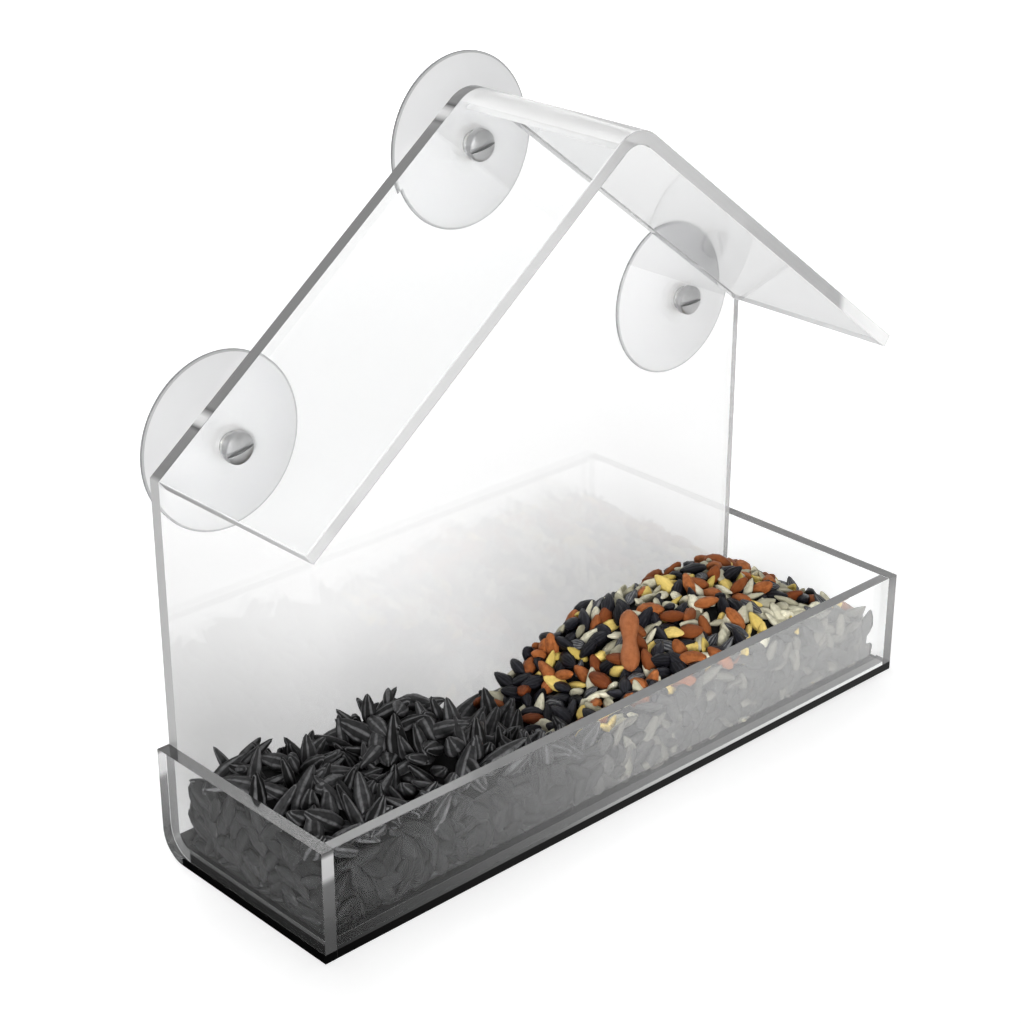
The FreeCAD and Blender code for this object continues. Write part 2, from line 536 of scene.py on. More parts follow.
@dataclass(frozen=True)
class TurnedMetal:
    """Metal turned on a lathe, with fine rings round its axis."""

    name: str
    centre: Vector
    bright: Colour
    dull: Colour
    stain_scale: float = 500.0
    ring_scale: float = 1500.0
    marks: Marks = (700.0, 4000.0, 0.32, 0.48)
    relief: Pair = (0.15, 0.02 * MM)

    def material(self) -> bpy.types.Material:
        """Build the finish.

        Returns:
            The material.
        """
        material, bench, output = new_material(self.name)
        metal = bench.add("ShaderNodeBsdfPrincipled", {"Metallic": 1.0})
        stain = bench.noise(self.stain_scale, detail=3.0)
        bench.join(bench.mix(stain, self.bright, self.dull), metal.inputs["Base Color"])
        SurfaceMarks.place(bench, metal, self.marks)
        rings = bench.rings(self.centre, {"Scale": self.ring_scale, "Distortion": 1.0, "Detail": 2.0})
        bench.relief(rings, metal, self.relief)
        bench.join(metal.outputs["BSDF"], output.inputs["Surface"])
        return material


@dataclass(frozen=True)
class SeedCoat:
    """Dry coat of one kind of seed, lighter or darker from seed to seed and lined from tip to tip."""

    name: str
    dark: Colour
    light: Colour
    line: Colour
    lining: float
    roughness: float = 0.55
    line_turns: float = 15.0
    specular: float = 0.15
    roughness_swing: float = 0.12
    line_span: Pair = (0.1, 0.95)
    speck_scale: float = 900.0
    speck_span: Pair = (0.42, 0.72)
    speck_share: float = 0.6
    marks: Pair = (400.0, 5000.0)
    relief: Pair = (0.5, 0.15 * MM)

    def material(self) -> bpy.types.Material:
        """Build the finish.

        Returns:
            The material.
        """
        material, bench, output = new_material(self.name)
        coat = bench.add("ShaderNodeBsdfPrincipled", {"Specular IOR Level": self.specular})
        tone = bench.add("ShaderNodeAttribute", attribute_name=SeedShape.TONE)
        across = bench.add("ShaderNodeAttribute", attribute_name=SeedShape.ACROSS)
        turns = bench.compute("MULTIPLY", across.outputs["Fac"], self.line_turns)
        lines = bench.spread(bench.compute("SINE", turns), self.line_span, (0.0, self.lining))
        speck = bench.noise(self.speck_scale, detail=3.0)
        mottle = bench.spread(speck, self.speck_span, (0.0, self.speck_share))
        base = bench.mix(tone.outputs["Fac"], self.dark, self.light)
        lined = bench.mix(lines, base, self.line)
        bench.join(bench.mix(mottle, lined, self.dark), coat.inputs["Base Color"])
        swing = (self.roughness - self.roughness_swing, self.roughness + self.roughness_swing)
        SurfaceMarks.place(bench, coat, (*self.marks, *swing))
        bench.relief(lines, coat, self.relief)
        bench.join(coat.outputs["BSDF"], output.inputs["Surface"])
        return material


@dataclass(frozen=True)
class HeapShade:
    """Painted shade of the heap's inside where it shows between the seeds, whose grey follows stops along X.
    """

    name: str
    stops: Stops
    specular: float = 0.15
    marks: Marks = (300.0, 1200.0, 0.7, 0.95)
    relief: Pair = (0.1, 0.3 * MM)

    def material(self) -> bpy.types.Material:
        """Build the finish.

        Returns:
            The material.
        """
        material, bench, output = new_material(self.name)
        shade = bench.add("ShaderNodeBsdfPrincipled", {"Specular IOR Level": self.specular})
        bench.join(bench.graded(Axis.X, self.stops), shade.inputs["Base Color"])
        hairlines = SurfaceMarks.place(bench, shade, self.marks)
        bench.relief(hairlines, shade, self.relief)
        bench.join(shade.outputs["BSDF"], output.inputs["Surface"])
        return material


def add_piece(bm: bmesh.types.BMesh, name: str, materials: list[bpy.types.Material],
              body: str) -> bpy.types.Object:
    """Turn a bmesh into an object at the origin that rides on a body.

    Args:
        bm: The shape, freed here.
        name: The piece's name.
        materials: Its materials, in the order of its material indices.
        body: The body that carries it.

    Returns:
        The new object.
    """
    mesh = bpy.data.meshes.new(name)
    bm.to_mesh(mesh)
    bm.free()
    for material in materials:
        mesh.materials.append(material)
    piece = bpy.data.objects.new(name, mesh)
    bpy.context.scene.collection.objects.link(piece)
    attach(piece, body)
    LOG.info("%s: %d faces on %s", name, len(mesh.polygons), body)
    return piece


def merged_copy(node: str) -> bmesh.types.BMesh:
    """Copy a CAD node as a closed shell of whole faces.

    Args:
        node: The node's name.

    Returns:
        A bmesh with its vertices merged and its flat triangles joined.
    """
    flat = math.radians(0.5)
    bm = bmesh.new()
    bm.from_mesh(bpy.data.objects[node].data)
    bmesh.ops.remove_doubles(bm, verts=bm.verts, dist=WELD)
    bmesh.ops.dissolve_limit(bm, angle_limit=flat, verts=bm.verts, edges=bm.edges)
    bm.normal_update()
    return bm


def cut_through(bm: bmesh.types.BMesh, point: Vector, normal: Vector) -> None:
    """Cut the faces of a shape along a plane and keep both sides.

    Args:
        bm: The shape.
        point: A point on the plane.
        normal: The plane's direction.
    """
    bmesh.ops.bisect_plane(bm, geom=[*bm.verts, *bm.edges, *bm.faces], dist=ON_PLANE,
                           plane_co=point, plane_no=normal)


def spun(profile: list[Pair], centre: Vector, steps: int, closed: bool) -> bmesh.types.BMesh:
    """Spin a section about an axis along Y.

    Args:
        profile: The section's corners, each a radius and a distance behind the centre.
        centre: A point on the axis.
        steps: Number of flats round the axis.
        closed: Whether the last corner joins the first.

    Returns:
        The closed shape.
    """
    bm = bmesh.new()
    verts = [bm.verts.new(centre + Vector((0.0, behind, radius))) for radius, behind in profile]
    following = verts[1:] + verts[:1] if closed else verts[1:]
    edges = [bm.edges.new(pair) for pair in zip(verts, following)]
    bmesh.ops.spin(bm, geom=verts + edges, cent=centre, axis=Vector((0.0, 1.0, 0.0)), angle=FULL_TURN,
                   steps=steps, use_merge=True)
    bmesh.ops.remove_doubles(bm, verts=bm.verts, dist=WELD)
    bmesh.ops.recalc_face_normals(bm, faces=bm.faces)
    bm.normal_update()
    return bm


def ease_edges(bm: bmesh.types.BMesh, width: float, cemented: set[bmesh.types.BMFace] | None = None) -> None:
    """Round every sharp edge a little and shade its round faces smooth.

    Args:
        bm: The shape.
        width: How much of each face the rounding takes.
        cemented: Faces whose edges stay sharp.
    """
    kept = cemented or set()
    crease = math.radians(24.0)
    flat = math.radians(0.6)
    for face in bm.faces:
        turns = [edge.calc_face_angle(0.0) for edge in face.edges]
        face.smooth = sum(flat < turn < crease for turn in turns) > 1
    sharp = [edge for edge in bm.edges
             if edge.calc_face_angle(0.0) >= crease and not kept.intersection(edge.link_faces)]
    made = bmesh.ops.bevel(bm, geom=sharp, offset=width, offset_type="OFFSET", affect="EDGES", segments=2,
                           profile=0.5, material=-1, clamp_overlap=True)
    for face in made["faces"]:
        face.smooth = True


class SheetFace(IntEnum):
    """Kinds of face on a sheet, which number its finishes.

    A sheet has either a foot or a ridge bend, so these two share a number.
    """

    POLISHED = 0
    CUT = 1
    FOOT = 2
    BEND = 2
    LOW_CUT = 3
    JOINT = 4
    FLOOR_END = 5


@dataclass
class SheetHouse:
    """The five clear sheets: back with floor, three tray walls and the roof."""

    body: str = "feeder"
    slot: str = "clear_sheet"
    edge_break: float = 0.22 * MM
    foot_height: float = 2.1 * MM
    bend_reach: float = 6.5 * MM
    least_bend_area: float = (1.0 * MM) ** 2
    probe_depth: float = 0.02 * MM
    face_share: float = 1.3
    cemented: dict[str, tuple[tuple[int, int, int], ...]] = field(default_factory=lambda: {
        "front_wall": ((1, 0, 0), (-1, 0, 0), (0, 0, -1)),
        "roof": ((0, 1, 0),),
    })
    wall_ior: float = 1.12
    roof_ior: float = 1.1
    roof_tint: Colour = (0.93, 0.935, 0.935)
    # Painted shade of the roof where it is seen nearly edge-on.
    roof_grazing_shade: Colour = (0.42, 0.42, 0.424)
    roof_roughness: Pair = (0.03, 0.08)
    bend_tint: Colour = (0.95, 0.95, 0.95)
    bend_transmission: float = 0.5
    # Painted shadow of the seed heap on the floor behind, seen through the back sheet.
    painted_shadow: PaintedShadow = PaintedShadow(
        border=both_in_mm(
            (-86.6, 55.0), (-66.6, 47.5), (-45.0, 39.5), (-25.0, 42.0), (-9.6, 47.0), (6.0, 51.0),
            (25.4, 51.5), (39.0, 48.0), (53.0, 43.0), (75.7, 28.0), (86.0, 19.0)),
        greys=in_mm((-25.0, 0.62), (-12.0, 0.69), (-3.0, 0.77), (3.0, 0.82), (25.0, 0.89)))
    wall_sheen: Stops = in_mm(
        (-86.0, 0.0), (-76.7, 0.02), (-55.0, 0.1), (-23.0, 0.3), (8.0, 0.55), (42.0, 0.64), (67.6, 0.71),
        (86.0, 0.75))
    # Painted light and shade on the panel's cut edge: the left side painted light, the right side dark, and
    # light marks with dark borders where the cups show through.
    gable_grey: float = 0.3
    gable_end: float = 86.3 * MM
    side_grey: float = 0.62
    far_side_grey: float = 0.2
    side_end: float = 86.7 * MM
    painted_cup_marks: tuple[float, ...] = (-74.3 * MM, -8.0 * MM, 8.0 * MM, 74.3 * MM)
    mark_greys: Stops = in_mm((-1.9, 0.1), (-1.0, 0.9), (0.5, 0.95), (1.5, 0.1))
    mark_span: Pair = (-2.3 * MM, 2.1 * MM)
    # Painted shade: near-black greys for the bottom edges, the floor's ends and the front wall's underside
    # stand for the shade under the tray where it meets the floor, lighter towards the right.
    foot_shade_greys: Stops = in_mm((-90.0, 0.002), (90.0, 0.03))
    floor_end_shade_greys: Stops = in_mm((-90.0, 0.06), (90.0, 0.12))
    front_foot_shade_greys: Stops = in_mm((-90.0, 0.02), (90.0, 0.25))
    # Painted light and shade on the cement joint along the floor's front: near black at the left, where
    # charcoal seed lies behind it, and pale at the right.
    joint_shading_greys: Stops = in_mm((-90.0, 0.02), (-30.0, 0.1), (10.0, 0.45), (86.0, 0.8))
    # Painted light and shade along the cut edges: darker where dark seed shows through, as low on the left
    # wall's front edge, and lighter at the roof's right tip.
    tray_greys: Stops = in_mm((-86.9, 0.2), (-86.0, 0.04), (86.0, 0.3), (86.9, 0.15))
    left_greys: Stops = in_mm(
        (2.0, 0.028), (8.0, 0.036), (12.0, 0.075), (18.5, 0.11), (20.0, 0.5), (24.5, 0.55), (25.3, 0.07),
        (26.0, 0.05))
    right_greys: Stops = in_mm((2.0, 0.18), (20.0, 0.28), (25.5, 0.17), (26.0, 0.1))
    front_greys: Stops = in_mm((-90.0, 0.2), (-60.0, 0.17), (-35.0, 0.25), (90.0, 0.23))
    roof_greys: Stops = in_mm(
        (-90.0, 0.56), (-14.0, 0.5), (-3.0, 0.4), (67.0, 0.35), (69.0, 0.75), (90.0, 0.85))
    eave_greys: Stops = in_mm((-22.0, 0.65), (24.0, 0.4))

    def build(self) -> list[bpy.types.Object]:
        """Make all five sheets.

        Returns:
            The pieces.
        """
        back = ClearSheet("back_face", painted_shadow=self.painted_shadow).material()
        wall = ClearSheet("wall_face", ior=self.wall_ior).material()
        front = ClearSheet("front_wall_face", ior=self.wall_ior, sheen=self.wall_sheen).material()
        roof = ClearSheet("roof_face", tint=self.roof_tint, ior=self.roof_ior, roughness=self.roof_roughness,
                          grazing_shade=self.roof_grazing_shade).material()
        bend = ClearSheet("ridge_bend", tint=self.bend_tint, transmission=self.bend_transmission).material()
        panel = CutEdge("panel_edge", self.panel_greys()).material()
        tray = CutEdge("tray_edge", self.tray_greys).material()
        # The cut edges' greys are painted light and shade.
        left = CutEdge("left_wall_edge", self.left_greys, Axis.Z).material()
        right = CutEdge("right_wall_edge", self.right_greys, Axis.Z).material()
        ledge = CutEdge("front_wall_edge", self.front_greys).material()
        rim = CutEdge("roof_edge", self.roof_greys).material()
        eave = CutEdge.matt("eave_edge", self.eave_greys, Axis.Y)
        # Cement joint with painted light and shade along X.
        joint = CutEdge.matt("cement_joint", self.joint_shading_greys)
        # Painted shade along the bottom of the sheets.
        foot = CutEdge.matt("foot_edge", self.foot_shade_greys)
        floor = CutEdge.matt("floor_edge", self.floor_end_shade_greys)
        front_foot = CutEdge.matt("front_wall_foot", self.front_foot_shade_greys)
        return [
            self.sheet("back_and_floor", [back, panel, foot, tray, joint, floor]),
            self.sheet("front_wall", [front, ledge, front_foot]),
            self.sheet("left_end_wall", [wall, left, foot]),
            self.sheet("right_end_wall", [wall, right, foot]),
            self.sheet("roof", [roof, rim, bend, eave]),
        ]

    def panel_greys(self) -> Stops:
        """Greys along the panel's cut edge, painted lighter on its left side than on its right, with painted
        marks where the cups behind show through it.

        Returns:
            Places along X and their greys.
        """
        stops = [(-self.side_end, self.side_grey), (-self.gable_end, self.gable_grey)]
        start, end = self.mark_span
        for middle in self.painted_cup_marks:
            stops.append((middle + start, self.gable_grey))
            stops += [(middle + shift, grey) for shift, grey in self.mark_greys]
            stops.append((middle + end, self.gable_grey))
        return (*stops, (self.gable_end, self.gable_grey), (self.side_end, self.far_side_grey))

    def sheet(self, node: str, finishes: list[bpy.types.Material]) -> bpy.types.Object:
        """Make one sheet from its node.

        Args:
            node: The CAD node.
            finishes: Finishes of the sheet, in the order of the kinds of face.

        Returns:
            The piece that stands for the node.
        """
        bm = merged_copy(node)
        levels = (self.foot_height, self.thickness(), self.tray_top())
        cuts = [Vector((0.0, 0.0, level)) for level in levels]
        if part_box(node)[0].z < self.thickness():
            cuts.append(Vector((0.0, self.bend_start(), 0.0)))
        for cut in cuts:
            cut_through(bm, cut, cut.normalized())
        bm.normal_update()
        tree = BVHTree.FromBMesh(bm)
        for part in bm.faces:
            part.material_index = self.kind_of(node, part, tree)
        ease_edges(bm, self.edge_break, {part for part in bm.faces if self.is_cemented(node, part)})
        for part in bm.faces:
            round_face = part.smooth and part.material_index == SheetFace.POLISHED
            if node == "roof" and round_face and part.calc_area() > self.least_bend_area:
                part.material_index = SheetFace.BEND
            elif node == "back_and_floor" and part.normal.y < -LEANING and part.normal.z > LEANING:
                part.material_index = SheetFace.JOINT
        piece = add_piece(bm, f"sheet_{node}", finishes, self.body)
        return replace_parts(piece, node)

    def kind_of(self, node: str, part: bmesh.types.BMFace, tree: BVHTree) -> SheetFace:
        """Tell what kind of face a face is.

        Args:
            node: The CAD node.
            part: The face.
            tree: All the sheet's faces, to measure through.

        Returns:
            The kind. Low cuts are the back sheet's edges inside the tray and the roof's low ends.
        """
        middle = self.point_inside(part)
        on_back = node == "back_and_floor"
        upright = abs(part.normal.z) < MAINLY and middle.y < self.bend_start()
        on_floor = upright and on_back and middle.z < self.thickness()
        if on_floor and abs(part.normal.x) > FACING:
            return SheetFace.FLOOR_END
        if (upright and middle.z < self.foot_height) or (node == "front_wall" and part.normal.z < -FACING):
            return SheetFace.FOOT
        if on_floor and part.normal.y < -FACING:
            return SheetFace.JOINT
        through = tree.ray_cast(middle - part.normal * self.probe_depth, -part.normal)[3] or 0.0
        thin = through < self.face_share * self.thickness()
        if thin or (self.is_cemented(node, part) and not on_back):
            return SheetFace.POLISHED
        low_end = node == "roof" and abs(part.normal.x) > MAINLY
        in_tray = on_back and middle.z < self.tray_top()
        return SheetFace.LOW_CUT if low_end or in_tray else SheetFace.CUT

    def is_cemented(self, node: str, part: bmesh.types.BMFace) -> bool:
        """Tell whether a face is cemented to another sheet.

        Args:
            node: The CAD node.
            part: The face.

        Returns:
            True for the node's cemented ends, and for the back sheet's edges between the end walls.
        """
        if node == "back_and_floor":
            return abs(part.normal.x) > FACING and part.calc_center_median().z < self.tray_top()
        return any(part.normal.dot(Vector(way)) > FACING for way in self.cemented.get(node, ()))

    def bend_start(self) -> float:
        """Place across the tray where the back sheet starts to bend up."""
        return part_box("back_and_floor")[1].y - self.bend_reach

    @staticmethod
    def thickness() -> float:
        """Thickness of the sheet, read from the front wall."""
        low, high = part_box("front_wall")
        return high.y - low.y

    @staticmethod
    def tray_top() -> float:
        """Height of the tray's rim."""
        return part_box("front_wall")[1].z

    @staticmethod
    def point_inside(part: bmesh.types.BMFace) -> Vector:
        """Find a point on a face that may have bays.

        Args:
            part: The face.

        Returns:
            The middle of the largest of its triangles.
        """
        corners = [vert.co for vert in part.verts]
        triangles = [[corners[index] for index in triple] for triple in tessellate_polygon([corners])]
        largest = max(triangles, key=lambda tri: (tri[1] - tri[0]).cross(tri[2] - tri[0]).length)
        return sum(largest, Vector()) / 3.0


class CupPlace(Enum):
    """Where on the back panel a suction cup sits."""

    TOP = "top"
    LEFT = "left"
    RIGHT = "right"

    @property
    def slot_degrees(self) -> float:
        """Turn of the screw's slot from level."""
        return 2.0 if self is CupPlace.RIGHT else 11.0


class CupFace(IntEnum):
    """Kinds of face on a suction cup, which number its finishes."""

    DISH = 0
    LIP = 1
    RING = 2


@dataclass
class CupStack:
    """A suction cup with the screw and bush that hold it."""

    place: CupPlace
    cup_steps: int = 96
    cup_break: float = 0.2 * MM
    lip: float = 0.7 * MM
    lip_band: float = 0.1 * MM
    shoulder_radius: float = 6.5 * MM
    crown: float = 0.2 * MM
    pad_radius: float = 5.5 * MM
    floor_radius: float = 13.0 * MM
    rim_ring: float = 0.5 * MM
    ring_tilt: float = 0.1
    pad_recess: float = 0.5 * MM
    hollow_depth: float = 0.8 * MM
    barrel_radius: float = 2.63 * MM
    flange_radius: float = 4.53 * MM
    pocket_front: float = 0.87 * MM
    pocket_back: float = 2.13 * MM
    bush_break: float = 0.12 * MM
    screw_steps: int = 48
    head_height: float = 2.5 * MM
    head_side: float = 1.5 * MM
    head_rounds: int = 6
    thread_radius: float = 1.95 * MM
    slot_width: float = 1.1 * MM
    slot_depth: float = 1.0 * MM
    slot_break: float = 0.1 * MM
    # Painted shade: the lip and the ring by the rim are painted darker than the dish, for the grey line that
    # the rim shows.
    lip_shade_tints: tuple[Colour, Colour] = ((0.2, 0.2, 0.203), (0.15, 0.15, 0.153))
    ring_shade_tints: tuple[Colour, Colour] = ((0.34, 0.343, 0.346), (0.3, 0.303, 0.306))
    steel_tints: tuple[Colour, Colour] = ((0.5, 0.5, 0.5), (0.36, 0.36, 0.365))
    brass_tints: tuple[Colour, Colour] = ((0.72, 0.58, 0.34), (0.58, 0.45, 0.25))

    def build(self) -> list[bpy.types.Object]:
        """Make the cup, the screw and the bush.

        Returns:
            The pieces.
        """
        return [self.cup(), self.screw(), self.bush()]

    def node(self, kind: str) -> str:
        """Name of this place's CAD node of a kind."""
        return f"{kind}_{self.place.value}"

    def front_of(self, kind: str) -> tuple[Vector, float, float]:
        """Measure a round CAD node of this place.

        Args:
            kind: The node's kind.

        Returns:
            The point on its axis at its front, its radius and its length along the axis.
        """
        low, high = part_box(self.node(kind))
        front = Vector(((low.x + high.x) / 2.0, low.y, (low.z + high.z) / 2.0))
        return front, (high.x - low.x) / 2.0, high.y - low.y

    def cup(self) -> bpy.types.Object:
        """Spin the dish about its axis.

        Returns:
            The piece that stands for the cup's node.
        """
        centre, rim, depth = self.front_of("suction_cup")
        pad = depth - self.pad_recess
        hollow = pad - self.hollow_depth
        front = depth - self.lip
        halfway = ((self.shoulder_radius + rim) / 2.0, front / 2.0 - self.crown)
        slope = (front - halfway[1]) / (rim - halfway[0])
        profile = [
            (self.barrel_radius, 0.0), (self.shoulder_radius, 0.0), halfway,
            (rim - self.rim_ring, front - self.rim_ring * slope), (rim, front), (rim, depth),
            (rim - self.lip, depth), (self.floor_radius, hollow), (self.pad_radius, hollow),
            (self.pad_radius, pad), (0.0, pad), (0.0, self.pocket_back),
            (self.flange_radius, self.pocket_back), (self.flange_radius, self.pocket_front),
            (self.barrel_radius, self.pocket_front),
        ]
        bm = spun(profile, centre, self.cup_steps, closed=True)
        for face in bm.faces:
            outward = face.calc_center_median() - centre
            radius = math.hypot(outward.x, outward.z)
            # Rim faces get the lip and ring finishes, painted darker.
            if radius > rim - self.lip_band:
                face.material_index = CupFace.LIP
            elif radius > rim - self.rim_ring and face.normal.y < -self.ring_tilt:
                face.material_index = CupFace.RING
        ease_edges(bm, self.cup_break)
        finishes = {
            CupFace.DISH: CloudyPvc(self.node("cloudy_pvc"), centre),
            CupFace.LIP: CloudyPvc(self.node("cloudy_lip"), centre, *self.lip_shade_tints),
            CupFace.RING: CloudyPvc(self.node("cloudy_ring"), centre, *self.ring_shade_tints),
        }
        materials = [finishes[kind].material() for kind in CupFace]
        piece = add_piece(bm, self.node("dish"), materials, self.node("cup"))
        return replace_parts(piece, self.node("suction_cup"))

    def screw(self) -> bpy.types.Object:
        """Turn the screw with its low domed head, and cut the slot.

        Returns:
            The piece that stands for the screw's node.
        """
        front, rim, length = self.front_of("cup_screw")
        dome = self.head_height - self.head_side
        turns = [math.radians(90.0 * step / self.head_rounds) for step in range(1, self.head_rounds + 1)]
        rounds = [(rim * math.sin(turn), dome * (1.0 - math.cos(turn))) for turn in turns]
        profile = [(0.0, 0.0), *rounds, (rim, self.head_height), (self.thread_radius, self.head_height),
                   (self.thread_radius, length), (0.0, length)]
        bm = spun(profile, front, self.screw_steps, closed=False)
        self.cut_slot(bm, front)
        ease_edges(bm, self.slot_break)
        steel = self.metal("plated_steel", self.steel_tints)
        piece = add_piece(bm, self.node("slotted_screw"), [steel], self.node("screw"))
        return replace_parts(piece, self.node("cup_screw"))

    def metal(self, kind: str, tints: tuple[Colour, Colour]) -> bpy.types.Material:
        """Turned finish whose rings go round this place's axis."""
        return TurnedMetal(self.node(kind), self.front_of("suction_cup")[0], *tints).material()

    def cut_slot(self, bm: bmesh.types.BMesh, front: Vector) -> None:
        """Cut the slot across the screw's head.

        Args:
            bm: The screw.
            front: Middle of the head's front.
        """
        turn = math.radians(self.place.slot_degrees)
        across = Vector((-math.sin(turn), 0.0, math.cos(turn)))
        bottom = front.y + self.slot_depth
        for side in (-0.5, 0.5):
            cut_through(bm, front + across * side * self.slot_width, across)
        cut_through(bm, Vector((0.0, bottom, 0.0)), Vector((0.0, 1.0, 0.0)))
        slot = []
        for face in bm.faces:
            middle = face.calc_center_median()
            if middle.y < bottom and abs((middle - front).dot(across)) < self.slot_width / 2.0:
                slot.append(face)
        bmesh.ops.delete(bm, geom=slot, context="FACES")
        sides = [edge for edge in bm.edges
                 if edge.is_boundary and min(vert.co.y for vert in edge.verts) < bottom]
        walls = bmesh.ops.extrude_edge_only(bm, edges=sides)
        for vert in (item for item in walls["geom"] if isinstance(item, bmesh.types.BMVert)):
            vert.co.y = bottom
        bmesh.ops.remove_doubles(bm, verts=bm.verts, dist=WELD)
        bmesh.ops.holes_fill(bm, edges=[edge for edge in bm.edges if edge.is_boundary], sides=0)
        bmesh.ops.recalc_face_normals(bm, faces=bm.faces)
        bm.normal_update()

    def bush(self) -> bpy.types.Object:
        """Ease the threaded bush's edges.

        Returns:
            The piece that stands for the bush's node.
        """
        bm = merged_copy(self.node("cup_bush"))
        ease_edges(bm, self.bush_break)
        brass = self.metal("pale_brass", self.brass_tints)
        piece = add_piece(bm, self.node("threaded_bush"), [brass], self.node("cup"))
        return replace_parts(piece, self.node("cup_bush"))


@dataclass(frozen=True)
class SeedShape:
    """One kind of seed, made once and repeated in the heap."""

    TONE = "tone"
    ACROSS = "across"
    LEAST_RADIUS = 0.001
    WAIST_POWER = 4

    name: str
    length: float
    width: float
    thickness: float
    point: float
    coat: SeedCoat
    waist: float = 0.0
    lean: float = 22.0
    around: int = 8
    rings: int = 6

    def template(self, bm: bmesh.types.BMesh) -> list[bmesh.types.BMVert]:
        """Make the seed once at the origin, long in Z and flat in Y.

        Args:
            bm: The bmesh that gets it.

        Returns:
            Its vertices.
        """
        made = bmesh.ops.create_uvsphere(bm, u_segments=self.around, v_segments=self.rings, radius=1.0)
        across = bm.verts.layers.float[self.ACROSS]
        size = Vector((self.width, self.thickness, self.length)) / 2.0
        for vert in made["verts"]:
            x, y, z = vert.co
            vert[across] = x / max(math.hypot(x, y), self.LEAST_RADIUS)
            taper = 1.0 - self.point * max(z, 0.0) - self.waist * (1.0 - z ** 2) ** self.WAIST_POWER
            vert.co = Vector((x * taper * size.x, y * taper * size.y, z * size.z))
        return made["verts"]


@dataclass(frozen=True)
class Mound:
    """One heap of seed in the tray."""

    centre: float
    rise: float
    spread: float


class SeedMix(Enum):
    """Kinds of seed in the tray."""

    CHARCOAL = SeedShape(
        "seed_charcoal", 12.0 * MM, 4.7 * MM, 2.8 * MM, 0.4, lean=38.0, around=10, coat=SeedCoat(
            "charcoal_husk", (0.002, 0.002, 0.002), (0.036, 0.036, 0.037), (0.165, 0.165, 0.169), 0.6,
            roughness=0.6, line_turns=7.5))
    # Painted shade: a darker copy of the charcoal seed, for seeds that face sideways or down.
    SHADED = SeedShape(
        "seed_shaded", 10.0 * MM, 4.2 * MM, 2.4 * MM, 0.5, coat=SeedCoat(
            "shaded_husk", (0.006, 0.006, 0.006), (0.02, 0.02, 0.0205), (0.035, 0.035, 0.036), 0.4,
            roughness=0.6, line_turns=5.0))
    CREAM = SeedShape(
        "seed_cream", 6.8 * MM, 3.5 * MM, 1.8 * MM, 0.45, coat=SeedCoat(
            "cream_husk", (0.28, 0.265, 0.19), (0.72, 0.69, 0.54), (0.42, 0.39, 0.27), 0.3))
    YELLOW = SeedShape(
        "seed_yellow", 6.4 * MM, 3.5 * MM, 1.8 * MM, 0.45, coat=SeedCoat(
            "yellow_husk", (0.4, 0.3, 0.07), (0.74, 0.56, 0.18), (0.5, 0.38, 0.1), 0.3))
    AMBER = SeedShape(
        "seed_amber", 6.6 * MM, 3.9 * MM, 2.9 * MM, 0.2, coat=SeedCoat(
            "amber_nut", (0.11, 0.027, 0.008), (0.36, 0.12, 0.037), (0.21, 0.06, 0.016), 0.3))
    PEANUT = SeedShape(
        "seed_peanut", 15.8 * MM, 6.6 * MM, 6.2 * MM, 0.0, waist=0.5, around=10, rings=14, coat=SeedCoat(
            "peanut_skin", (0.2, 0.06, 0.022), (0.4, 0.15, 0.06), (0.3, 0.1, 0.035), 0.3))
    # A darker, greyer seed, laid on the heap's front side and near the front wall.
    FRONT_GREY = SeedShape(
        "seed_front_grey", 7.0 * MM, 4.0 * MM, 2.2 * MM, 0.4, coat=SeedCoat(
            "front_grey_husk", (0.03, 0.0295, 0.0285), (0.056, 0.055, 0.053), (0.08, 0.078, 0.075), 0.2))
    PALE = SeedShape(
        "seed_pale", 8.4 * MM, 2.7 * MM, 1.9 * MM, 0.45, coat=SeedCoat(
            "pale_husk", (0.07, 0.068, 0.061), (0.17, 0.164, 0.14), (0.12, 0.115, 0.093), 0.2))
    SLATE = SeedShape(
        "seed_slate", 7.0 * MM, 3.8 * MM, 2.4 * MM, 0.5, coat=SeedCoat(
            "slate_husk", (0.02, 0.021, 0.024), (0.085, 0.087, 0.096), (0.28, 0.28, 0.28), 0.55))
    BLACK = SeedShape(
        "seed_black", 6.8 * MM, 3.9 * MM, 2.7 * MM, 0.4, coat=SeedCoat(
            "black_husk", (0.002, 0.002, 0.003), (0.012, 0.012, 0.016), (0.04, 0.04, 0.048), 0.4,
            roughness=0.4))


SeedShares = tuple[tuple[SeedMix, float], ...]


